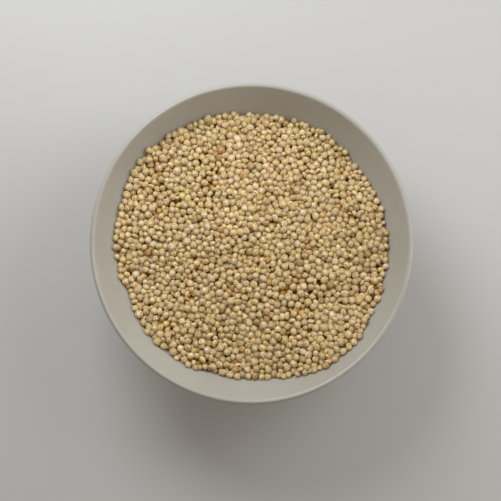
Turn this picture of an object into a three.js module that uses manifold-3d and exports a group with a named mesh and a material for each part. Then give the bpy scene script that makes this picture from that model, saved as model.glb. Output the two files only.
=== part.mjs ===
// A small, shallow porcelain bowl on a foot ring, filled with raw quinoa that lies a little uneven.
// Millimetres, +Z up. The origin is the centre of the foot ring's underside.
import * as THREE from 'three';
import { mergeVertices } from 'three/addons/utils/BufferGeometryUtils.js';
import Module from 'manifold-3d';

// ---- Driving dimensions ----

// The bowl. Its inner and outer wall are parts of two ellipses with one centre far above the rim.
// The lip is rounded from its crest out to the one wall and in to the other.
const RIM_RADIUS = 50;
const BOWL_HEIGHT = 36;
const LIP_OUTSIDE = { reach: 0.8, drop: 1.2 };
const LIP_INSIDE = { reach: 0.9, drop: 0.8 };
const WALL_CENTRE = 120;
const INNER_DEPTH = 115;
const OUTER_DEPTH = 119.2;
const FOOT_RADIUS = 21.6;
const FOOT_WIDTH = 3.4;
const FOOT_HEIGHT = 6.2;
const FOOT_ROUNDING = 0.6;
const FOOT_RECESS = 2.6;
const BOWL_SIDES = 60;
const OUTER_STEPS = 7;
const LIP_STEPS = 3;
const INNER_STEPS = 8;

// The quinoa. Its grains are flattened discs, and its top is a level surface with soft swells.
const GRAIN_WIDTH = 2.2;
const GRAIN_THICKNESS = 1.3;
const FIT_GAP = 0.35;
const HEAP_LEVEL = 29.4;
const SWELLS = [
  { x: 0, y: -1, rise: 1.5, reach: 18 },
  { x: -33, y: 28, rise: 1.2, reach: 8 },
  { x: 28, y: -35, rise: 2.9, reach: 10.5 },
  { x: -1, y: -37, rise: -1.4, reach: 10.5 },
  { x: 4, y: 42, rise: -1.6, reach: 13 },
  { x: 38, y: 28, rise: -2.4, reach: 7.5 },
  { x: -32, y: -13, rise: -2.5, reach: 7 },
];

// The bumps are grains side by side: one six-sided bump a grain.
const BUMP_PITCH = 2.48;
const BUMP_SHIFT = 0.36;
const BUMP_DEPTH = 0.85;
const BUMP_UNEVENNESS = 0.4;

// The loose grains lie on the bumps, spread evenly and tilted up to LOOSE_TILT radians.
const LOOSE_GRAINS = 32;
const LOOSE_REACH = 40;
const LOOSE_TILT = 0.5;
const LOOSE_RISE = -0.35;
const LOOSE_SMALLEST = 0.92;
const LOOSE_LARGEST = 1.12;
const GRAIN_SIDES = 6;
const GRAIN_RINGS = 4;
const SEED = 20617;

// Colours.
const PORCELAIN = { color: '#b3b0a7', roughness: 0.18, metalness: 0 };
const QUINOA = { color: '#b39a6c', roughness: 0.72, metalness: 0 };

const wasm = await Module();
wasm.setup();

// ---- Helpers ----

// A repeatable series of numbers from 0 to 1, by the usual 32-bit mixing of a counter.
function seededRandom(seed) {
  let state = seed;
  return () => {
    state = (state + 0x6d2b79f5) | 0;
    let mixed = Math.imul(state ^ (state >>> 15), 1 | state);
    mixed = (mixed + Math.imul(mixed ^ (mixed >>> 7), 61 | mixed)) ^ mixed;
    return ((mixed ^ (mixed >>> 14)) >>> 0) / 4294967296;
  };
}

// A closed three.js geometry as a solid that can be joined and cut.
function toSolid(geometry) {
  geometry.deleteAttribute('normal');
  geometry.deleteAttribute('uv');
  const merged = mergeVertices(geometry, 1e-4);
  const corners = merged.index.array;
  const triangles = [];
  for (let i = 0; i < corners.length; i += 3) {
    const [a, b, c] = [corners[i], corners[i + 1], corners[i + 2]];
    if (a !== b && b !== c && c !== a) triangles.push(a, b, c);
  }
  const mesh = new wasm.Mesh({
    numProp: 3,
    vertProperties: Float32Array.from(merged.attributes.position.array),
    triVerts: Uint32Array.from(triangles),
  });
  return new wasm.Manifold(mesh);
}

function toGeometry(solid) {
  const mesh = solid.getMesh();
  const geometry = new THREE.BufferGeometry();
  geometry.setAttribute('position', new THREE.BufferAttribute(mesh.vertProperties, 3));
  geometry.setIndex(new THREE.BufferAttribute(mesh.triVerts, 1));
  return geometry;
}

// A profile of (radius, height) points turned about the Z axis.
function turned(profile) {
  return new THREE.LatheGeometry(profile, BOWL_SIDES).rotateX(Math.PI / 2);
}

function namedMesh(name, geometry, look) {
  const flat = geometry.toNonIndexed();
  flat.computeVertexNormals();
  const mesh = new THREE.Mesh(flat, new THREE.MeshStandardMaterial(look));
  mesh.name = name;
  return mesh;
}

// ---- The bowl ----

// One half of the lip, from the wall up to the crest: side is 1 outside and -1 inside. It starts
// where it leans as much as the wall, whose slope comes from its ellipse.
function lipPoints({ reach, drop }, side, depth) {
  const crest = RIM_RADIUS - LIP_OUTSIDE.reach;
  const share = (WALL_CENTRE - BOWL_HEIGHT + drop) / depth;
  const slope = (crest * share) / (depth * (1 - share ** 2));
  const start = -side * Math.atan((drop / reach) * slope);
  const points = [];
  for (let step = 0; step <= LIP_STEPS; step++) {
    const angle = start + ((Math.PI / 2 - start) * step) / LIP_STEPS;
    const radius = crest + side * reach * Math.cos(angle);
    points.push(new THREE.Vector2(radius, BOWL_HEIGHT - drop + drop * Math.sin(angle)));
  }
  return points;
}

const OUTER_LIP = lipPoints(LIP_OUTSIDE, 1, OUTER_DEPTH);
const INNER_LIP = lipPoints(LIP_INSIDE, -1, INNER_DEPTH);

// Half the width of a wall's ellipse, so that the wall passes a point.
function ellipseWidth(depth, point) {
  return point.x / Math.sqrt(1 - ((WALL_CENTRE - point.y) / depth) ** 2);
}

const OUTER_WIDTH = ellipseWidth(OUTER_DEPTH, OUTER_LIP[0]);
const INNER_WIDTH = ellipseWidth(INNER_DEPTH, INNER_LIP[0]);

// The points of a wall from one height to another. An inset makes the ellipse smaller.
function wallPoints(width, depth, fromHeight, toHeight, steps, inset = 0) {
  const [start, end] = [fromHeight, toHeight].map((height) => Math.acos((WALL_CENTRE - height) / depth));
  const points = [];
  for (let step = 0; step <= steps; step++) {
    const angle = start + ((end - start) * step) / steps;
    const radius = (width - inset) * Math.sin(angle);
    points.push(new THREE.Vector2(radius, WALL_CENTRE - (depth - inset) * Math.cos(angle)));
  }
  return points;
}

function bowlProfile() {
  const footInner = FOOT_RADIUS - FOOT_WIDTH;
  const floorHeight = WALL_CENTRE - INNER_DEPTH;
  const foot = [
    new THREE.Vector2(0, FOOT_RECESS),
    new THREE.Vector2(footInner, FOOT_RECESS),
    new THREE.Vector2(footInner + FOOT_ROUNDING, 0),
    new THREE.Vector2(FOOT_RADIUS - FOOT_ROUNDING, 0),
    new THREE.Vector2(FOOT_RADIUS, FOOT_ROUNDING),
  ];
  const outer = wallPoints(OUTER_WIDTH, OUTER_DEPTH, FOOT_HEIGHT, OUTER_LIP[0].y, OUTER_STEPS);
  const inner = wallPoints(INNER_WIDTH, INNER_DEPTH, INNER_LIP[0].y, floorHeight, INNER_STEPS);
  inner[INNER_STEPS].x = 0;
  const innerLip = INNER_LIP.slice(0, -1).reverse();
  return [...foot, ...outer.slice(0, -1), ...OUTER_LIP, ...innerLip, ...inner.slice(1)];
}

// ---- The quinoa ----

function heapHeight(x, y) {
  let height = HEAP_LEVEL;
  for (const swell of SWELLS) {
    const away = (x - swell.x) ** 2 + (y - swell.y) ** 2;
    height += swell.rise * Math.exp(-away / (2 * swell.reach ** 2));
  }
  return height;
}

// The room inside the bowl, a small gap clear of its wall, up to well above the heap.
function insideRoom() {
  const floorHeight = WALL_CENTRE - INNER_DEPTH;
  const wall = wallPoints(INNER_WIDTH, INNER_DEPTH, floorHeight, INNER_LIP[0].y, INNER_STEPS, FIT_GAP);
  wall[0].x = 0;
  return toSolid(turned([...wall, new THREE.Vector2(0, wall[INNER_STEPS].y)]));
}

// A block whose top is covered with bumps: a lattice of crowns, each with six low corners that it
// shares with its neighbours. The lattice reaches past the bowl's wall.
function bumpyBlock(random) {
  const rowPitch = (BUMP_PITCH * Math.sqrt(3)) / 2;
  const half = Math.ceil((RIM_RADIUS + 2 * BUMP_PITCH) / rowPitch);
  const count = 2 * half + 1;
  const around = (amount) => (random() - 0.5) * amount;
  const place = [];
  const top = [];
  for (let row = 0; row < count; row++) {
    for (let column = 0; column < count; column++) {
      const x = (column - half + (row % 2) / 2) * BUMP_PITCH + around(BUMP_SHIFT * BUMP_PITCH);
      const y = (row - half) * rowPitch + around(BUMP_SHIFT * BUMP_PITCH);
      place.push(new THREE.Vector2(x, y));
      top.push(new THREE.Vector3(x, y, heapHeight(x, y) + around(BUMP_UNEVENNESS)));
    }
  }

  // A low corner in the middle of each triangle of crowns, and the triangles round each crown.
  const cornersOf = place.map(() => []);
  const addCorner = (crowns) => {
    const x = crowns.reduce((sum, crown) => sum + place[crown].x, 0) / 3;
    const y = crowns.reduce((sum, crown) => sum + place[crown].y, 0) / 3;
    for (const crown of crowns) cornersOf[crown].push(top.length);
    const drop = BUMP_DEPTH + around(BUMP_UNEVENNESS);
    top.push(new THREE.Vector3(x, y, heapHeight(x, y) - drop));
  };
  for (let row = 0; row < count - 1; row++) {
    for (let column = 0; column < count - 1; column++) {
      const here = row * count + column;
      const above = here + count;
      const odd = row % 2;
      addCorner([here, here + 1, above + odd]);
      addCorner([here + 1 - odd, above + 1, above]);
    }
  }
  const faces = [];
  place.forEach((centre, crown) => {
    const corners = cornersOf[crown];
    if (corners.length !== 6) return;
    const bearing = (corner) => Math.atan2(top[corner].y - centre.y, top[corner].x - centre.x);
    corners.sort((one, other) => bearing(one) - bearing(other));
    corners.forEach((corner, turn) => faces.push([crown, corner, corners[(turn + 1) % 6]]));
  });
  return closedDownward(top, faces);
}

// A solid from a sheet of faces: the sheet, its flat copy below, and walls along its open edges.
function closedDownward(top, faces) {
  const bottom = 0;
  const positions = [];
  for (const point of top) positions.push(point.x, point.y, point.z);
  for (const point of top) positions.push(point.x, point.y, bottom);
  const below = top.length;
  const edges = new Set(faces.flatMap(([a, b, c]) => [`${a} ${b}`, `${b} ${c}`, `${c} ${a}`]));
  const triangles = [];
  for (const [a, b, c] of faces) {
    triangles.push(a, b, c, below + a, below + c, below + b);
  }
  for (const edge of edges) {
    const [from, to] = edge.split(' ').map(Number);
    if (edges.has(`${to} ${from}`)) continue;
    triangles.push(to, from, below + from, to, below + from, below + to);
  }
  const geometry = new THREE.BufferGeometry();
  geometry.setAttribute('position', new THREE.Float32BufferAttribute(positions, 3));
  geometry.setIndex(triangles);
  return toSolid(geometry);
}

// Places spread evenly over a disc, by the golden angle.
function evenPlaces(count, reach) {
  const goldenAngle = Math.PI * (3 - Math.sqrt(5));
  return Array.from({ length: count }, (_, index) => {
    const radius = reach * Math.sqrt((index + 0.5) / count);
    const angle = index * goldenAngle;
    return new THREE.Vector2(radius * Math.cos(angle), radius * Math.sin(angle));
  });
}

function looseGrain(place, random) {
  const grain = new THREE.SphereGeometry(0.5, GRAIN_SIDES, GRAIN_RINGS).rotateX(Math.PI / 2);
  const size = THREE.MathUtils.lerp(LOOSE_SMALLEST, LOOSE_LARGEST, random());
  grain.scale(GRAIN_WIDTH * size, GRAIN_WIDTH * size, GRAIN_THICKNESS * size);
  grain.rotateX((random() - 0.5) * 2 * LOOSE_TILT);
  grain.rotateZ(random() * 2 * Math.PI);
  const x = place.x + (random() - 0.5) * GRAIN_WIDTH;
  const y = place.y + (random() - 0.5) * GRAIN_WIDTH;
  grain.translate(x, y, heapHeight(x, y) + LOOSE_RISE);
  return toSolid(grain);
}

function quinoaHeap() {
  const random = seededRandom(SEED);
  let heap = bumpyBlock(random).intersect(insideRoom());
  for (const place of evenPlaces(LOOSE_GRAINS, LOOSE_REACH)) {
    heap = heap.add(looseGrain(place, random));
  }
  return toGeometry(heap);
}

// ---- The whole ----

const dish = new THREE.Group();
dish.add(namedMesh('bowl', toGeometry(toSolid(turned(bowlProfile()))), PORCELAIN));
dish.add(namedMesh('quinoa', quinoaHeap(), QUINOA));

export default dish;
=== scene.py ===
import math

import bpy
import numpy as np
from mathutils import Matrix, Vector


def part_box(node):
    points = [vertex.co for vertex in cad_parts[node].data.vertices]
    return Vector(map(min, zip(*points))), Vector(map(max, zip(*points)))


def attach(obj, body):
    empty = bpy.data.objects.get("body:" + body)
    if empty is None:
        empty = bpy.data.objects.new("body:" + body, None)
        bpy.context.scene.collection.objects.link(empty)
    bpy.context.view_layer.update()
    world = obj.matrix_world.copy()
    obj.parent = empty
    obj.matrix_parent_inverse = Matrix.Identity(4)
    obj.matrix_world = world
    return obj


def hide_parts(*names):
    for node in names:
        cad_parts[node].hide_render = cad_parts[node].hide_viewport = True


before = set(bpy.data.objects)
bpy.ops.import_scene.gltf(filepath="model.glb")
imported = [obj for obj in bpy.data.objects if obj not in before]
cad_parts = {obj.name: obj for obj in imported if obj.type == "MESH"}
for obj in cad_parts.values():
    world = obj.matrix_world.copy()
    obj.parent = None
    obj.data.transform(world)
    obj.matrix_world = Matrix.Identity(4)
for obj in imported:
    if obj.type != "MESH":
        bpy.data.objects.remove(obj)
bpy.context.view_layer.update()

# ---- Sizes, in metres ----

MM = 0.001
bowl_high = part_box("bowl")[1]

# The bowl. Both of its walls are parts of ellipses with one centre far above the rim. The lip
# is rounded from its crest to each wall: how far out or in, and how far down.
RIM_RADIUS = bowl_high[0]
BOWL_HEIGHT = bowl_high[2]
LIP_OUTSIDE = (0.8 * MM, 1.2 * MM)
LIP_INSIDE = (0.9 * MM, 0.8 * MM)
WALL_CENTRE = 120 * MM
INNER_DEPTH = 115 * MM
OUTER_DEPTH = 119.2 * MM
FOOT_RADIUS = 21.6 * MM
FOOT_WIDTH = 3.4 * MM
FOOT_HEIGHT = 6.2 * MM
FOOT_ROUNDING = 0.6 * MM
FOOT_RECESS = 2.6 * MM
RECESS_FILLET = 1.2 * MM
CORNER_START = 0.6 * FOOT_HEIGHT
GLAZE_LINE = 0.35 * MM

# The steps of each stretch of the bowl's outline, and those of its turn.
RECESS_STEPS = 5
FOOT_STEPS = 4
CORNER_STEPS = 5
OUTER_STEPS = 24
LIP_STEPS = 8
INNER_STEPS = 28
BOWL_STEPS = 160
SHARP_ANGLE = math.radians(50)
MERGE_DISTANCE = 0.001 * MM

# The heap: its level, and the soft swells (x, y, rise, reach) that make it uneven.
HEAP_LEVEL = 29.4 * MM
SWELLS = [
    (0 * MM, -1 * MM, 1.5 * MM, 18 * MM),
    (-33 * MM, 28 * MM, 1.2 * MM, 8 * MM),
    (28 * MM, -35 * MM, 2.9 * MM, 10.5 * MM),
    (-1 * MM, -37 * MM, -1.4 * MM, 10.5 * MM),
    (4 * MM, 42 * MM, -1.6 * MM, 13 * MM),
    (38 * MM, 28 * MM, -2.4 * MM, 7.5 * MM),
    (-32 * MM, -13 * MM, -2.5 * MM, 7 * MM),
]

# The search for the heap's edge: where it starts, and its rounds.
ROUGH_EDGE = 0.8 * RIM_RADIUS
EDGE_ROUNDS = 40

# The core below the grains that show: how deep it lies, its mesh, and the lumps on its top.
CORE_DEPTH = 3.4 * MM
WALL_GAP = 0.35 * MM
CORE_RINGS = 56
CORE_WALL_RINGS = 14
CORE_STEPS = 180
LUMPY_SHARE = 0.97
LUMP_SIZE = 1.7 * MM
LUMP_DEPTH = 0.9 * MM

# The grains: flattened discs with a germ band round the edge. Most lie nearly flat, and a share
# of them any way. Each rises above the heap's level by an amount of its own.
GRAIN_COUNT = 3800
EDGE_GRAINS = 124
GRAIN_WIDTH = 2.2 * MM
GRAIN_WIDTH_SPREAD = 0.21 * MM
GRAIN_WIDTH_RANGE = (1.7 * MM, 2.65 * MM)
GRAIN_FLATNESS = (0.5, 0.68)
GRAIN_STRETCH = 0.06
GRAIN_TILT_SPREAD = math.radians(25)
LOOSE_TILT_SHARE = 0.2
GRAIN_RISE = 0.1 * MM
GRAIN_RISE_SPREAD = 0.3 * MM
GRAIN_RISE_RANGE = (-0.5 * MM, 0.9 * MM)
SHOWN_DEPTH = 1.9 * MM

# How the grains settle: they start on a spiral, in loose layers, and push each other apart.
GOLDEN_ANGLE = math.pi * (3 - math.sqrt(5))
SPIRAL_JITTER = 0.8
START_DEPTHS = (0.12, 0.85)
SETTLE_STEPS = 160
SINK_STEP = 0.012 * MM
PUSH_GAIN = 1.6
NEAR_REACH = 1.25 * GRAIN_WIDTH_RANGE[1]
STEPS_BETWEEN_SEARCHES = 8
ROWS_AT_ONCE = 64
CORE_CONTACT = 0.9
WALL_CONTACT = 0.97
SEED = 20617

# The grains' shapes, for a radius and half height of 1: the sides, half the height of the germ
# band, the shoulder (radius, height) of each face, the beak, and the number and depth of the
# lobes that put the outline out of round.
FINE_SHAPES = [
    (10, 0.34, (0.8, 0.84), 0.05, 2, 0.05),
    (11, 0.38, (0.76, 0.87), 0.16, 3, 0.05),
    (9, 0.3, (0.8, 0.8), 0.0, 3, -0.05),
    (10, 0.4, (0.78, 0.88), 0.1, 4, 0.04),
    (10, 0.36, (0.8, 0.86), 0.0, 2, -0.08),
]
PLAIN_SHAPE = (8, 0.3, (0.7, 0.78), 0.0, 3, 0.0)
BEAK_SPREAD = 0.12
BEAK_PINCH = 0.3


# ---- Small tools ----

def deselect_everything():
    if bpy.context.object and bpy.context.object.mode != "OBJECT":
        bpy.ops.object.mode_set(mode="OBJECT")
    bpy.ops.object.select_all(action="DESELECT")


def pick(piece):
    deselect_everything()
    piece.select_set(True)
    bpy.context.view_layer.objects.active = piece


def name_piece(piece, name):
    piece.name = name
    piece.data.name = name
    return piece


# ---- The bowl ----

def lip_outline(rounding, side, depth):
    """Points (radius, height) from a wall up to the lip's crest: side is 1 outside, -1 inside.

    They start where the rounding leans as much as the wall, whose slope comes from its ellipse.
    """
    reach, drop = rounding
    crest = RIM_RADIUS - LIP_OUTSIDE[0]
    share = (WALL_CENTRE - BOWL_HEIGHT + drop) / depth
    slope = crest * share / (depth * (1 - share**2))
    start = -side * math.atan(drop / reach * slope)
    points = []
    for step in range(LIP_STEPS + 1):
        angle = start + (math.pi / 2 - start) * step / LIP_STEPS
        radius = crest + side * reach * math.cos(angle)
        points.append((radius, BOWL_HEIGHT - drop + drop * math.sin(angle)))
    return points


def ellipse_width(depth, point):
    """Half the width of a wall's ellipse, so that the wall passes a point (radius, height)."""
    return point[0] / math.sqrt(1 - ((WALL_CENTRE - point[1]) / depth) ** 2)


OUTER_LIP = lip_outline(LIP_OUTSIDE, 1, OUTER_DEPTH)
INNER_LIP = lip_outline(LIP_INSIDE, -1, INNER_DEPTH)
OUTER_WIDTH = ellipse_width(OUTER_DEPTH, OUTER_LIP[0])
INNER_WIDTH = ellipse_width(INNER_DEPTH, INNER_LIP[0])


def wall_outline(width, depth, low, high, steps):
    """Points (radius, height) up a wall from one height to another."""
    start = math.acos((WALL_CENTRE - low) / depth)
    end = math.acos((WALL_CENTRE - high) / depth)
    points = []
    for step in range(steps + 1):
        angle = start + (end - start) * step / steps
        points.append((width * math.sin(angle), WALL_CENTRE - depth * math.cos(angle)))
    return points


def arc(centre, radius, start, end, steps):
    """Points (radius, height) along a round, from one angle in degrees to another."""
    points = []
    for step in range(steps + 1):
        angle = math.radians(start + (end - start) * step / steps)
        points.append((centre[0] + radius * math.cos(angle), centre[1] + radius * math.sin(angle)))
    return points


def bowl_outline():
    """Half of the bowl's section, from the middle of its underside round to its inside floor."""
    foot_inner = FOOT_RADIUS - FOOT_WIDTH
    rounding = FOOT_ROUNDING
    fillet = RECESS_FILLET
    recess = [(0, FOOT_RECESS), (foot_inner * 0.5, FOOT_RECESS)]
    recess += arc((foot_inner - fillet, FOOT_RECESS - fillet), fillet, 90, 0, RECESS_STEPS)
    ring = arc((foot_inner + rounding, rounding), rounding, 180, 270, FOOT_STEPS)
    ring += arc((FOOT_RADIUS - rounding, rounding), rounding, 270, 360, FOOT_STEPS)
    outer = wall_outline(OUTER_WIDTH, OUTER_DEPTH, FOOT_HEIGHT, OUTER_LIP[0][1], OUTER_STEPS)
    outer = foot_corner((FOOT_RADIUS, CORNER_START), outer[0], outer[1]) + outer[2:-1]
    floor = WALL_CENTRE - INNER_DEPTH
    inner = wall_outline(INNER_WIDTH, INNER_DEPTH, INNER_LIP[0][1], floor, INNER_STEPS)
    inner[-1] = (0, inner[-1][1])
    return recess + ring + outer + OUTER_LIP + INNER_LIP[-2::-1] + inner[1:]


def foot_corner(foot, corner, wall):
    """A hollow curve from the foot's side out to the wall, instead of a sharp corner."""
    points = []
    for step in range(CORNER_STEPS + 1):
        share = step / CORNER_STEPS
        before = (1 - share) ** 2
        after = share**2
        middle = 1 - before - after
        point = [before * foot[i] + middle * corner[i] + after * wall[i] for i in (0, 1)]
        points.append(tuple(point))
    return points


def turn_outline(name, outline, steps):
    """Draws an outline by extruding one vertex along it, and spins it once round."""
    deselect_everything()
    bpy.ops.mesh.primitive_plane_add(size=MM, location=(0, 0, 0))
    piece = name_piece(bpy.context.object, name)
    bpy.ops.object.mode_set(mode="EDIT")
    bpy.ops.mesh.merge(type="CENTER")
    bpy.ops.transform.translate(value=(outline[0][0], 0, outline[0][1]))
    for here, there in zip(outline, outline[1:]):
        step = (there[0] - here[0], 0, there[1] - here[1])
        bpy.ops.mesh.extrude_vertices_move(TRANSFORM_OT_translate={"value": step})
    bpy.ops.mesh.select_all(action="SELECT")
    bpy.ops.mesh.spin(steps=steps, angle=2 * math.pi, center=(0, 0, 0), axis=(0, 0, 1))
    bpy.ops.mesh.select_all(action="SELECT")
    bpy.ops.mesh.remove_doubles(threshold=MERGE_DISTANCE)
    bpy.ops.mesh.normals_make_consistent(inside=False)
    bpy.ops.object.mode_set(mode="OBJECT")
    return piece


def make_bowl(glaze, bare_clay):
    """The whole bowl, glazed but for the underside of its foot ring."""
    bowl = turn_outline("porcelain_bowl", bowl_outline(), BOWL_STEPS)
    bowl.data.materials.append(glaze)
    bowl.data.materials.append(bare_clay)
    for face in bowl.data.polygons:
        under_foot = face.center.z < GLAZE_LINE and face.center.xy.length > FOOT_RADIUS / 2
        face.material_index = 1 if under_foot else 0
    pick(bowl)
    bpy.ops.object.shade_smooth_by_angle(angle=SHARP_ANGLE)
    return bowl


# ---- The heap's form ----

def heap_height(x, y):
    """The height of the heap's top at each place, for arrays as for single numbers."""
    height = HEAP_LEVEL + 0 * x
    for swell_x, swell_y, rise, reach in SWELLS:
        away = (x - swell_x) ** 2 + (y - swell_y) ** 2
        height = height + rise * np.exp(-away / (2 * reach**2))
    return height


def wall_radius(height, inset):
    """The radius of the inner wall at a height, or of a surface inset from it."""
    inside = 1 - ((WALL_CENTRE - height) / (INNER_DEPTH - inset)) ** 2
    return (INNER_WIDTH - inset) * np.sqrt(np.maximum(inside, 0))


def wall_facing(height):
    """The direction (out, up) from the heap into the wall, square to it, at a height."""
    share = (WALL_CENTRE - height) / INNER_DEPTH
    slope = INNER_WIDTH / INNER_DEPTH * share / np.sqrt(1 - share**2)
    return 1 / np.hypot(1, slope), -slope / np.hypot(1, slope)


def edge_of_heap(angle, drop, inset):
    """Where a surface that lies drop below the heap's meets the wall: (radius, height)."""
    radius = 0 * angle + ROUGH_EDGE
    for _ in range(EDGE_ROUNDS):
        height = heap_height(radius * np.cos(angle), radius * np.sin(angle)) - drop
        radius = 0.5 * (radius + wall_radius(height, inset))
    return radius, height


def vertex_places(piece):
    places = np.empty(3 * len(piece.data.vertices))
    piece.data.vertices.foreach_get("co", places)
    return places.reshape(-1, 3)


def make_core(material):
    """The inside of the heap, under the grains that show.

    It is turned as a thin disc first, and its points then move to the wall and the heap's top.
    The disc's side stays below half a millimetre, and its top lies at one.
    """
    side = []
    for i in range(CORE_WALL_RINGS):
        swing = 0.5 * math.pi * i / CORE_WALL_RINGS
        side.append((ROUGH_EDGE * math.sin(swing), 0.5 * i / CORE_WALL_RINGS * MM))
    top = [(ROUGH_EDGE * (1 - i / CORE_RINGS), MM) for i in range(CORE_RINGS)] + [(0, MM)]
    core = turn_outline("packed_quinoa", side + top, CORE_STEPS)
    places = vertex_places(core)
    radius = np.hypot(places[:, 0], places[:, 1])
    angle = np.arctan2(places[:, 1], places[:, 0])
    edge_radius, edge_height = edge_of_heap(angle, CORE_DEPTH, WALL_GAP)
    floor = WALL_CENTRE - INNER_DEPTH + WALL_GAP
    on_top = places[:, 2] > 0.75 * MM
    share = radius / ROUGH_EDGE
    edge_swing = np.arccos((WALL_CENTRE - edge_height) / (WALL_CENTRE - floor))
    swing = np.arcsin(np.clip(share, 0, 1)) / (0.5 * math.pi) * edge_swing
    side_height = WALL_CENTRE - (WALL_CENTRE - floor) * np.cos(swing)
    new_radius = np.where(on_top, share * edge_radius, wall_radius(side_height, WALL_GAP))
    places[:, 0] = new_radius * np.cos(angle)
    places[:, 1] = new_radius * np.sin(angle)
    top_height = heap_height(places[:, 0], places[:, 1]) - CORE_DEPTH
    places[:, 2] = np.where(on_top, top_height, side_height)
    core.data.vertices.foreach_set("co", places.ravel())
    core.data.update()
    core.data.materials.append(material)
    pick(core)
    inner_top = core.vertex_groups.new(name="top")
    well_inside = on_top & (share < LUMPY_SHARE)
    inner_top.add([int(i) for i in np.flatnonzero(well_inside)], 1.0, "REPLACE")
    lumps = bpy.data.textures.new("grain lumps", "VORONOI")
    lumps.noise_scale = LUMP_SIZE
    relief = core.modifiers.new("grain lumps", "DISPLACE")
    relief.texture = lumps
    relief.texture_coords = "LOCAL"
    relief.vertex_group = "top"
    relief.mid_level = 1.0
    relief.strength = -LUMP_DEPTH
    bpy.ops.object.modifier_apply(modifier=relief.name)
    bpy.ops.object.shade_smooth()
    return core


# ---- The grains ----

def model_grain(sides, band, shoulder, beak, lobes, lobe_depth):
    """One grain of radius 1 and half height 1, as its points and its faces.

    The shoulder is the ring (radius, height) between the germ band and the crown of each face.
    """
    deselect_everything()
    bpy.ops.mesh.primitive_cylinder_add(
        vertices=sides,
        radius=1,
        depth=2 * band,
        location=(0, 0, 0),
    )
    grain = bpy.context.object
    for side in (1, -1):
        bpy.ops.object.mode_set(mode="EDIT")
        bpy.ops.mesh.select_all(action="DESELECT")
        bpy.ops.object.mode_set(mode="OBJECT")
        for face in grain.data.polygons:
            face.select = face.normal.z * side > 0.9
        bpy.ops.object.mode_set(mode="EDIT")
        bpy.ops.mesh.select_mode(type="FACE")
        rise = side * (shoulder[1] - band)
        bpy.ops.mesh.extrude_region_move(TRANSFORM_OT_translate={"value": (0, 0, rise)})
        bpy.ops.transform.resize(value=(shoulder[0], shoulder[0], 1))
        bpy.ops.mesh.poke(offset=1 - shoulder[1])
    bpy.ops.object.mode_set(mode="OBJECT")
    places = vertex_places(grain)
    turn = np.arctan2(places[:, 1], places[:, 0])
    places[:, :2] *= (1 + lobe_depth * np.cos(lobes * turn))[:, None]
    tip = np.exp(-((places[:, 0] - 1) ** 2 + places[:, 1] ** 2) / BEAK_SPREAD)
    places[:, 0] += beak * tip
    places[:, 1] *= 1 - BEAK_PINCH * tip
    faces = [tuple(face.vertices) for face in grain.data.polygons]
    bpy.data.objects.remove(grain)
    return places, faces


def contact_reach(along, half_width, half_height):
    """How far a flattened ball reaches in a direction whose cosine with its axis is along."""
    along = along**2
    return half_width * half_height / np.sqrt(half_height**2 * (1 - along) + half_width**2 * along)


def near_pairs(places, reach):
    """Pairs of grains whose middles are nearer than reach."""
    first, second = [], []
    order = np.argsort(places[:, 0], kind="stable")
    xs = places[order, 0]
    ends = np.searchsorted(xs, xs + reach)
    for start in range(0, len(order), ROWS_AT_ONCE):
        rows = order[start:start + ROWS_AT_ONCE]
        near = order[start:ends[start + len(rows) - 1]]
        apart = places[rows][:, None, :] - places[near][None, :, :]
        close = (apart**2).sum(axis=2) < reach**2
        rank_rows = np.arange(start, start + len(rows))
        rank_near = np.arange(start, start + len(near))
        close &= rank_near[None, :] > rank_rows[:, None]
        i, j = np.nonzero(close)
        first.append(rows[i])
        second.append(near[j])
    return np.concatenate(first), np.concatenate(second)


def random_axes(count, random):
    """The direction square to each grain's disc."""
    tilt = np.abs(random.normal(0, GRAIN_TILT_SPREAD, count))
    loose = random.random(count) < LOOSE_TILT_SHARE
    tilt[loose] = np.arccos(random.random(loose.sum()))
    turn = random.random(count) * 2 * math.pi
    across = np.sin(tilt)
    return np.stack([across * np.cos(turn), across * np.sin(turn), np.cos(tilt)], axis=1)


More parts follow.
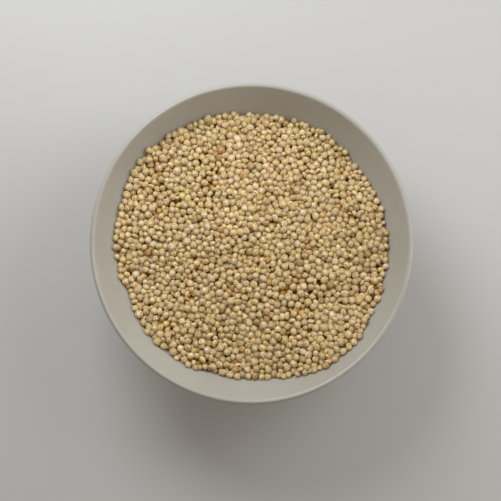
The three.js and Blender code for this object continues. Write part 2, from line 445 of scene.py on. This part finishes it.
def settle_grains(random):
    """Lets the grains find room on the core and against the wall, without overlap."""
    count = GRAIN_COUNT
    width = random.normal(GRAIN_WIDTH, GRAIN_WIDTH_SPREAD, count)
    half_width = np.clip(width, *GRAIN_WIDTH_RANGE) / 2
    half_height = half_width * random.uniform(*GRAIN_FLATNESS, count)
    axes = random_axes(count, random)
    rank = np.arange(count) + random.uniform(0, SPIRAL_JITTER, count)
    angle = rank * GOLDEN_ANGLE
    share = np.sqrt(rank / (count - EDGE_GRAINS))
    at_edge = share >= 1
    share = np.minimum(share, 1)
    edge_radius, _ = edge_of_heap(angle, CORE_DEPTH / 3, GRAIN_WIDTH / 3)
    x = share * edge_radius * np.cos(angle)
    y = share * edge_radius * np.sin(angle)
    z = heap_height(x, y) - CORE_DEPTH * random.uniform(*START_DEPTHS, count)
    z[at_edge] = heap_height(x, y)[at_edge]
    proud = np.clip(random.normal(GRAIN_RISE, GRAIN_RISE_SPREAD, count), *GRAIN_RISE_RANGE)
    places = np.stack([x, y, z], axis=1)
    for step in range(SETTLE_STEPS):
        if step % STEPS_BETWEEN_SEARCHES == 0:
            first, second = near_pairs(places, NEAR_REACH)
        apart = places[second] - places[first]
        distance = np.linalg.norm(apart, axis=1) + 1e-9
        direction = apart / distance[:, None]
        reach = 0
        for one in (first, second):
            along = (direction * axes[one]).sum(1)
            reach = reach + contact_reach(along, half_width[one], half_height[one])
        overlap = np.maximum(reach - distance, 0)
        touching = overlap > 0
        contacts = np.bincount(first, touching, count) + np.bincount(second, touching, count)
        push = 0.5 * overlap[:, None] * direction
        for axis in range(3):
            moved = np.bincount(second, push[:, axis], count)
            moved = moved - np.bincount(first, push[:, axis], count)
            places[:, axis] += PUSH_GAIN * moved / np.maximum(contacts, PUSH_GAIN)
        places[:, 2] -= SINK_STEP * (1 - step / SETTLE_STEPS)
        keep_inside(places, axes, half_width, half_height, proud)
    return places, axes, half_width, half_height


def keep_inside(places, axes, half_width, half_height, proud):
    """Keeps the grains between the core, the wall and the heap's top, which all give a little."""
    upward = np.sqrt(half_height**2 * axes[:, 2] ** 2 + half_width**2 * (1 - axes[:, 2] ** 2))
    level = heap_height(places[:, 0], places[:, 1])
    lowest = level - CORE_DEPTH + upward * CORE_CONTACT
    places[:, 2] = np.clip(places[:, 2], lowest, level - upward + proud)
    radius = np.hypot(places[:, 0], places[:, 1])
    outward = places * [1, 1, 0] / np.maximum(radius, 1e-9)[:, None]
    out, up = wall_facing(places[:, 2])
    into_wall = outward * out[:, None]
    into_wall[:, 2] = up
    along = (into_wall * axes).sum(1)
    reach = np.sqrt(half_height**2 * along**2 + half_width**2 * (1 - along**2))
    limit = wall_radius(places[:, 2], 0) - WALL_CONTACT * reach / out
    shrink = np.minimum(limit / np.maximum(radius, 1e-9), 1)
    places[:, 0] *= shrink
    places[:, 1] *= shrink


def grain_frames(axes, random):
    """Two directions in each grain's disc, square to each other."""
    helper = np.where(np.abs(axes[:, 2:3]) > 0.9, [[1.0, 0, 0]], [[0, 0, 1.0]])
    across = np.cross(helper, axes)
    across /= np.linalg.norm(across, axis=1)[:, None]
    along = np.cross(axes, across)
    turn = (random.random(len(axes)) * 2 * math.pi)[:, None]
    one = across * np.cos(turn) + along * np.sin(turn)
    return one, np.cross(axes, one)


def join_grains(name, shapes, chosen, grains, material):
    """One mesh of the chosen grains, each a scaled and turned copy of one of the shapes."""
    places, one, other, axes, half_width, half_height, stretch, tints, warmths = grains
    vertices, corners, counts, tint, warmth, discs = [], [], [], [], [], []
    offset = 0
    for grain in chosen:
        shape, faces = shapes[grain % len(shapes)]
        wide, high, long = half_width[grain], half_height[grain], stretch[grain]
        moved = (
            places[grain]
            + shape[:, 0:1] * wide * long * one[grain]
            + shape[:, 1:2] * wide / long * other[grain]
            + shape[:, 2:3] * high * axes[grain]
        )
        vertices.append(moved)
        for face in faces:
            corners.extend(offset + corner for corner in face)
            counts.append(len(face))
        tint.append(np.full(len(shape), tints[grain]))
        warmth.append(np.full(len(shape), warmths[grain]))
        discs.append(shape[:, :2])
        offset += len(shape)
    vertices = np.concatenate(vertices)
    corners = np.array(corners)
    counts = np.array(counts)
    # How deep each point lies below the heap's level, for the painted shade on deep grains.
    shade_depth = (heap_height(vertices[:, 0], vertices[:, 1]) - vertices[:, 2]) / MM
    mesh = bpy.data.meshes.new(name)
    mesh.vertices.add(len(vertices))
    mesh.vertices.foreach_set("co", vertices.ravel())
    mesh.loops.add(len(corners))
    mesh.loops.foreach_set("vertex_index", corners)
    mesh.polygons.add(len(counts))
    mesh.polygons.foreach_set("loop_start", np.concatenate([[0], np.cumsum(counts)[:-1]]))
    mesh.polygons.foreach_set("loop_total", counts)
    own_values = {"tint": np.concatenate(tint), "warmth": np.concatenate(warmth), "shade_depth": shade_depth}
    for attribute, values in own_values.items():
        mesh.attributes.new(attribute, "FLOAT", "POINT").data.foreach_set("value", values)
    disc = mesh.uv_layers.new(name="disc")
    disc.data.foreach_set("uv", (np.concatenate(discs)[corners] * 0.5 + 0.5).ravel())
    mesh.update(calc_edges=True)
    mesh.validate()
    piece = bpy.data.objects.new(name, mesh)
    bpy.context.scene.collection.objects.link(piece)
    mesh.materials.append(material)
    pick(piece)
    bpy.ops.object.shade_smooth()
    return piece


# ---- Materials ----

def add_node(tree, kind, settings=None, inputs=None):
    """A shader node with its settings, and its own sockets' values, by name or number."""
    node = tree.nodes.new("ShaderNode" + kind)
    for name, value in (settings or {}).items():
        setattr(node, name, value)
    for name, value in (inputs or {}).items():
        node.inputs[name].default_value = value
    return node


def join(tree, source, target):
    """Links two sockets, each given as (node, socket)."""
    tree.links.new(source[0].outputs[source[1]], target[0].inputs[target[1]])


def new_material(name):
    material = bpy.data.materials.new(name)
    material.use_nodes = True
    return material, material.node_tree, material.node_tree.nodes["Principled BSDF"]


def new_group(name, inputs, outputs):
    """A shader node group with inputs given as name: (kind, value), and outputs as name: kind."""
    group = bpy.data.node_groups.new(name, "ShaderNodeTree")
    for socket, (kind, value) in inputs.items():
        made = group.interface.new_socket(socket, in_out="INPUT", socket_type="NodeSocket" + kind)
        made.default_value = value
    for socket, kind in outputs.items():
        group.interface.new_socket(socket, in_out="OUTPUT", socket_type="NodeSocket" + kind)
    return group, group.nodes.new("NodeGroupInput"), group.nodes.new("NodeGroupOutput")


def place_group(tree, group, inputs):
    node = tree.nodes.new("ShaderNodeGroup")
    node.node_tree = group
    for name, value in inputs.items():
        node.inputs[name].default_value = value
    return node


def ramp(tree, source, low, high, to_low=0.0, to_high=1.0):
    """A smooth change from one value to another as the source goes from low to high."""
    settings = {"interpolation_type": "SMOOTHSTEP"}
    inputs = {"From Min": low, "From Max": high, "To Min": to_low, "To Max": to_high}
    node = add_node(tree, "MapRange", settings, inputs)
    join(tree, source, (node, "Value"))
    return node, "Result"


def times(tree, first, second):
    node = add_node(tree, "Math", {"operation": "MULTIPLY"})
    join(tree, first, (node, 0))
    join(tree, second, (node, 1))
    return node, "Value"


def mix_colours(tree, factor, first, second):
    """Mixes two colours, each a socket or a fixed colour."""
    node = add_node(tree, "Mix", {"data_type": "RGBA"})
    join(tree, factor, (node, "Factor"))
    for name, colour in (("A", first), ("B", second)):
        if isinstance(colour[0], bpy.types.Node):
            join(tree, colour, (node, name))
        else:
            node.inputs[name].default_value = (*colour, 1)
    return node, "Result"


def fired_ware_group():
    """Soft clouds of tone with small dark specks, for glaze and bare clay."""
    inputs = {
        "Light": ("Color", (1, 1, 1, 1)),
        "Dark": ("Color", (0, 0, 0, 1)),
        "Speck": ("Color", (0, 0, 0, 1)),
        "Cloud Scale": ("Float", 40.0),
        "Speck Scale": ("Float", 400.0),
        "Speck Size": ("Float", 0.1),
    }
    group, given, result = new_group("fired ware", inputs, {"Colour": "Color", "Height": "Float"})
    place = add_node(group, "TexCoord")
    clouds = add_node(group, "TexNoise", inputs={"Detail": 4.0, "Roughness": 0.55})
    specks = add_node(group, "TexVoronoi")
    join(group, (place, "Object"), (clouds, "Vector"))
    join(group, (place, "Object"), (specks, "Vector"))
    join(group, (given, "Cloud Scale"), (clouds, "Scale"))
    join(group, (given, "Speck Scale"), (specks, "Scale"))
    cloudy = ramp(group, (clouds, "Fac"), 0.3, 0.7)
    tone = mix_colours(group, cloudy, (given, "Dark"), (given, "Light"))
    inside = add_node(group, "Math", {"operation": "LESS_THAN"})
    join(group, (specks, "Distance"), (inside, 0))
    join(group, (given, "Speck Size"), (inside, 1))
    rare = ramp(group, (specks, "Color"), 0.62, 0.7)
    colour = mix_colours(group, times(group, (inside, "Value"), rare), tone, (given, "Speck"))
    join(group, colour, (result, "Colour"))
    join(group, (clouds, "Fac"), (result, "Height"))
    return group


# A grain's face, on a map where its middle is 0 and its rim 0.5: the crease inside the germ band,
# and the band's inner edge. The tip is measured from the rim at the beak.
CREASE = (0.27, 0.335, 0.40)
BAND_EDGE = (0.33, 0.43)
TIP = (0.04, 0.2)

# How far the skin's tone falls in the crease, painted shade in its groove, and at the tip, how it
# varies with its chalk, and what is left of its height in the crease.
CREASE_SHADE = 0.5
TIP_TONE = 0.72
CHALK_TONES = (0.71, 1.27)
CREASE_HEIGHT = 0.45

# Painted shade for the grains that lie deep between the others: how far below the heap's level, in
# millimetres, a skin starts to darken, where it is wholly dark, and the tint it is darkened by.
SHADE_DEPTH_RANGE = (0.5, 1.7)
SHADE_DEPTH_TINT = (0.8, 0.58, 0.25)


def grain_skin_group():
    """A grain's skin: chalky middle, germ band round the edge, and a darker tip at its beak.

    It reads each grain's own lightness and warmth, the place on its disc, and how deep it lies,
    which paints shade on the deep ones.
    """
    inputs = {
        "Body": ("Color", (1, 1, 1, 1)),
        "Warm Body": ("Color", (1, 1, 1, 1)),
        "Band": ("Color", (1, 1, 1, 1)),
        "Darkest": ("Float", 0.8),
        "Lightest": ("Float", 1.1),
    }
    group, given, result = new_group("grain skin", inputs, {"Colour": "Color", "Height": "Float"})
    disc = add_node(group, "UVMap", {"uv_map": "disc"})
    centred = add_node(group, "VectorMath", {"operation": "SUBTRACT"}, {1: (0.5, 0.5, 0)})
    length = add_node(group, "VectorMath", {"operation": "LENGTH"})
    join(group, (disc, "UV"), (centred, 0))
    join(group, (centred, "Vector"), (length, 0))
    out = (length, "Value")
    band = ramp(group, out, *BAND_EDGE)
    inner, deepest, outer = CREASE
    crease = times(group, ramp(group, out, inner, deepest), ramp(group, out, deepest, outer, 1, 0))
    from_tip = add_node(group, "VectorMath", {"operation": "DISTANCE"}, {1: (1.0, 0.5, 0)})
    join(group, (disc, "UV"), (from_tip, 0))
    tip = ramp(group, (from_tip, "Value"), *TIP, 1, 0)

    place = add_node(group, "TexCoord")
    chalk = add_node(group, "TexNoise", inputs={"Scale": 1500.0, "Detail": 3.0, "Roughness": 0.6})
    join(group, (place, "Object"), (chalk, "Vector"))
    warmth = add_node(group, "Attribute", {"attribute_name": "warmth"})
    body = mix_colours(group, (warmth, "Fac"), (given, "Body"), (given, "Warm Body"))
    patchy_band = times(group, band, ramp(group, (chalk, "Fac"), 0.3, 0.6))
    # The band's colour is darker than the body's: partly the germ band's own tone, partly painted
    # shade at the grain's edge.
    skin = mix_colours(group, patchy_band, body, (given, "Band"))

    tint = add_node(group, "Attribute", {"attribute_name": "tint"})
    tone = add_node(group, "MapRange")
    join(group, (tint, "Fac"), (tone, "Value"))
    join(group, (given, "Darkest"), (tone, "To Min"))
    join(group, (given, "Lightest"), (tone, "To Max"))
    mottled = times(group, (tone, "Result"), ramp(group, (chalk, "Fac"), 0.3, 0.7, *CHALK_TONES))
    # Painted shade in the crease of the germ band.
    crease_shaded = times(group, mottled, ramp(group, crease, 0, 1, 1, CREASE_SHADE))
    tipped = times(group, crease_shaded, ramp(group, tip, 0, 1, 1, TIP_TONE))
    # Painted shade: grains that lie deep are darkened and warmed.
    shade_depth = add_node(group, "Attribute", {"attribute_name": "shade_depth"})
    deep = mix_colours(group, ramp(group, (shade_depth, "Fac"), *SHADE_DEPTH_RANGE), (1, 1, 1), SHADE_DEPTH_TINT)
    shaded_skin = add_node(group, "VectorMath", {"operation": "MULTIPLY"})
    join(group, skin, (shaded_skin, 0))
    join(group, deep, (shaded_skin, 1))
    shade = add_node(group, "VectorMath", {"operation": "SCALE"})
    join(group, (shaded_skin, "Vector"), (shade, 0))
    join(group, tipped, (shade, "Scale"))
    join(group, (shade, "Vector"), (result, "Colour"))
    groove = ramp(group, crease, 0, 1, 1, CREASE_HEIGHT)
    grit = ramp(group, (chalk, "Fac"), 0.2, 0.8, 0.8, 1)
    join(group, times(group, groove, grit), (result, "Height"))
    return group


def add_bump(tree, shader, height, strength, distance):
    bump = add_node(tree, "Bump", inputs={"Strength": strength, "Distance": distance})
    join(tree, height, (bump, "Height"))
    join(tree, (bump, "Normal"), (shader, "Normal"))


def glaze_material(fired_ware):
    material, tree, shader = new_material("grey-white glaze")
    inputs = {
        "Light": (0.385, 0.37, 0.325, 1),
        "Dark": (0.355, 0.34, 0.295, 1),
        "Speck": (0.30, 0.28, 0.24, 1),
        "Cloud Scale": 45.0,
        "Speck Scale": 450.0,
        "Speck Size": 0.05,
    }
    ware = place_group(tree, fired_ware, inputs)
    join(tree, (ware, "Colour"), (shader, "Base Color"))
    add_bump(tree, shader, (ware, "Height"), 0.15, 0.2 * MM)
    shader.inputs["Roughness"].default_value = 0.33
    return material


def bare_clay_material(fired_ware):
    material, tree, shader = new_material("bare clay")
    inputs = {
        "Light": (0.56, 0.52, 0.45, 1),
        "Dark": (0.45, 0.41, 0.34, 1),
        "Speck": (0.3, 0.25, 0.18, 1),
        "Cloud Scale": 260.0,
        "Speck Scale": 1600.0,
        "Speck Size": 0.3,
    }
    ware = place_group(tree, fired_ware, inputs)
    join(tree, (ware, "Colour"), (shader, "Base Color"))
    add_bump(tree, shader, (ware, "Height"), 0.6, 0.15 * MM)
    shader.inputs["Roughness"].default_value = 0.85
    return material


def grain_material(name, grain_skin, colours, tones):
    material, tree, shader = new_material(name)
    body, warm_body, band = colours
    darkest, lightest = tones
    inputs = {
        "Body": (*body, 1),
        "Warm Body": (*warm_body, 1),
        "Band": (*band, 1),
        "Darkest": darkest,
        "Lightest": lightest,
    }
    skin = place_group(tree, grain_skin, inputs)
    join(tree, (skin, "Colour"), (shader, "Base Color"))
    add_bump(tree, shader, (skin, "Height"), 0.9, 0.12 * MM)
    shader.inputs["Roughness"].default_value = 0.42
    shader.inputs["Subsurface Weight"].default_value = 0.25
    shader.inputs["Subsurface Radius"].default_value = (1.0, 0.6, 0.3)
    shader.inputs["Subsurface Scale"].default_value = 0.4 * MM
    return material


def shaded_core_material():
    """Packed grains with painted deep shade: each cell has a dark tone of its own, and painted
    shade darkens its edges.
    """
    material, tree, shader = new_material("shaded grain")
    place = add_node(tree, "TexCoord")
    cells = add_node(tree, "TexVoronoi", inputs={"Scale": 560.0})
    join(tree, (place, "Object"), (cells, "Vector"))
    # Dark browns: painted shade of the grains deep in the heap.
    tone = mix_colours(tree, (cells, "Color"), (0.36, 0.2, 0.06), (0.5, 0.3, 0.1))
    # Painted shade between the cells.
    edge_shaded = mix_colours(tree, ramp(tree, (cells, "Distance"), 0.3, 0.75), tone, (0.2, 0.095, 0.022))
    join(tree, edge_shaded, (shader, "Base Color"))
    add_bump(tree, shader, ramp(tree, (cells, "Distance"), 0, 0.8, 1, 0), 1.0, 0.4 * MM)
    shader.inputs["Roughness"].default_value = 0.8
    return material


# Each kind of grain that shows: its share of them (the shares add up to 1), its body, warm body
# and band colours (the band darker: its own tone with painted shade at the grain's edge), and its
# darkest and lightest tone.
KINDS = {
    "cream_grains": {
        "share": 0.46,
        "colours": ((0.685, 0.52, 0.28), (0.655, 0.485, 0.25), (0.655, 0.48, 0.225)),
        "tones": (0.86, 1.1),
    },
    "straw_grains": {
        "share": 0.24,
        "colours": ((0.675, 0.52, 0.255), (0.635, 0.48, 0.215), (0.625, 0.465, 0.185)),
        "tones": (0.9, 1.1),
    },
    "tan_grains": {
        "share": 0.17,
        "colours": ((0.66, 0.485, 0.265), (0.625, 0.435, 0.22), (0.61, 0.42, 0.19)),
        "tones": (0.8, 1.08),
    },
    "white_grains": {
        "share": 0.09,
        "colours": ((0.72, 0.575, 0.37), (0.69, 0.54, 0.325), (0.68, 0.525, 0.285)),
        "tones": (0.94, 1.1),
    },
    "amber_grains": {
        "share": 0.04,
        "colours": ((0.60, 0.40, 0.18), (0.52, 0.31, 0.115), (0.51, 0.295, 0.10)),
        "tones": (0.78, 1.1),
    },
}
# The grains below those that show: darker, warmer colours than theirs, painted shade for the gaps
# between the grains on top.
SHADED_UNDER_COLOURS = ((0.61, 0.43, 0.135), (0.56, 0.37, 0.10), (0.55, 0.355, 0.09))
UNDER_TONES = (0.8, 1.1)


def make_grains():
    """A piece for each kind of grain that shows, and one for the plainer grains below them."""
    random = np.random.default_rng(SEED)
    places, axes, half_width, half_height = settle_grains(random)
    count = len(places)
    one, other = grain_frames(axes, random)
    stretch = 1 + random.uniform(-GRAIN_STRETCH, GRAIN_STRETCH, count)
    tints = random.random(count)
    warmths = random.random(count)
    grains = (places, one, other, axes, half_width, half_height, stretch, tints, warmths)
    depth = heap_height(places[:, 0], places[:, 1]) - places[:, 2]
    shown = depth < SHOWN_DEPTH
    fine = [model_grain(*shape) for shape in FINE_SHAPES]
    plain = [model_grain(*PLAIN_SHAPE)]
    skin = grain_skin_group()
    draw = random.random(count)
    pieces = []
    start = 0
    for name, kind in KINDS.items():
        material = grain_material(name.replace("_", " "), skin, kind["colours"], kind["tones"])
        mine = (draw >= start) & (draw < start + kind["share"]) & shown
        pieces.append(join_grains(name, fine, np.flatnonzero(mine), grains, material))
        start += kind["share"]
    # Painted shade: the grains below take darker colours.
    material = grain_material("shaded under grains", skin, SHADED_UNDER_COLOURS, UNDER_TONES)
    pieces.append(join_grains("under_grains", plain, np.flatnonzero(~shown), grains, material))
    return pieces


# ---- Stage ----

FLOOR_SIZE = 4
FLOOR_COLOUR = (0.5, 0.5, 0.49)

# Each soft light: degrees round from the right, degrees up, distance, size, watts and colour.
COOL = (0.94, 0.965, 1)
WARM = (1, 0.93, 0.9)
LIGHTS = {
    "key": (118, 40, 0.27, 0.17, 0.61, COOL),
    "side": (0, 8, 0.38, 0.17, 0.46, WARM),
    "fill": (30, 40, 0.27, 0.17, 0.25, COOL),
}
ROOM_LIGHT = 0.385
ROOM_COLOUR = (1, 0.925, 0.82)


def make_floor():
    deselect_everything()
    bpy.ops.mesh.primitive_plane_add(size=FLOOR_SIZE, location=(0, 0, 0))
    floor = name_piece(bpy.context.object, "floor")
    material, _, shader = new_material("pale floor")
    shader.inputs["Base Color"].default_value = (*FLOOR_COLOUR, 1)
    shader.inputs["Roughness"].default_value = 0.9
    floor.data.materials.append(material)


def aim_at(thing, place, aim):
    """Puts a light or a camera at a place and turns it to look at another."""
    direction = Vector(aim) - Vector(place)
    thing.location = place
    thing.rotation_euler = direction.to_track_quat("-Z", "Y").to_euler()


def soft_light(name, turn, rise, distance, size, power, colour):
    light = bpy.data.lights.new(name, "AREA")
    light.shape = "DISK"
    light.size = size
    light.energy = power
    light.color = colour
    lamp = bpy.data.objects.new(name, light)
    lamp.visible_camera = False
    bpy.context.scene.collection.objects.link(lamp)
    turn, rise = math.radians(turn), math.radians(rise)
    out = Vector((math.cos(turn) * math.cos(rise), math.sin(turn) * math.cos(rise), math.sin(rise)))
    middle = Vector((0, 0, BOWL_HEIGHT))
    aim_at(lamp, middle + distance * out, middle)


def make_stage():
    make_floor()
    world = bpy.data.worlds.new("studio")
    world.use_nodes = True
    bpy.context.scene.world = world
    room = world.node_tree.nodes["Background"]
    room.inputs["Color"].default_value = (*ROOM_COLOUR, 1)
    room.inputs["Strength"].default_value = ROOM_LIGHT
    for name, values in LIGHTS.items():
        soft_light(name, *values)


# The camera: its angle up, its distance from the middle of the rim, and its focal length in pixels
# of the frame. It looks past the middle of the rim by CENTRE_RIGHT and CENTRE_UP pixels, so that
# the bowl shows that much right of the middle of the frame and above it.
CAMERA_ELEVATION = math.radians(84.5)
CAMERA_DISTANCE = 0.42
FOCAL_PIXELS = 1361.1
FRAME_PIXELS = 501
SENSOR = 36
CENTRE_RIGHT = 0.8
CENTRE_UP = 8.66
PIXELS_PER_METRE = 3240


def make_camera():
    camera_data = bpy.data.cameras.new("camera")
    camera_data.sensor_width = SENSOR
    camera_data.lens = FOCAL_PIXELS / FRAME_PIXELS * SENSOR
    camera = bpy.data.objects.new("camera", camera_data)
    bpy.context.scene.collection.objects.link(camera)
    back = np.array([0, -math.cos(CAMERA_ELEVATION), math.sin(CAMERA_ELEVATION)])
    up = np.array([0, math.sin(CAMERA_ELEVATION), math.cos(CAMERA_ELEVATION)])
    right = np.array([1.0, 0, 0])
    rim = np.array([0, 0, BOWL_HEIGHT])
    place = rim + CAMERA_DISTANCE * back
    aim = rim - right * CENTRE_RIGHT / PIXELS_PER_METRE - up * CENTRE_UP / PIXELS_PER_METRE
    aim_at(camera, place, aim)
    bpy.context.scene.camera = camera


# ---- The whole ----

bpy.context.scene.view_settings.view_transform = "Standard"
fired_ware = fired_ware_group()
bowl = make_bowl(glaze_material(fired_ware), bare_clay_material(fired_ware))
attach(bowl, "root")
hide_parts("bowl")

core = make_core(shaded_core_material())
heap = [core, *make_grains()]
for piece in heap:
    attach(piece, "root")
    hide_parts("quinoa")

make_stage()
make_camera()
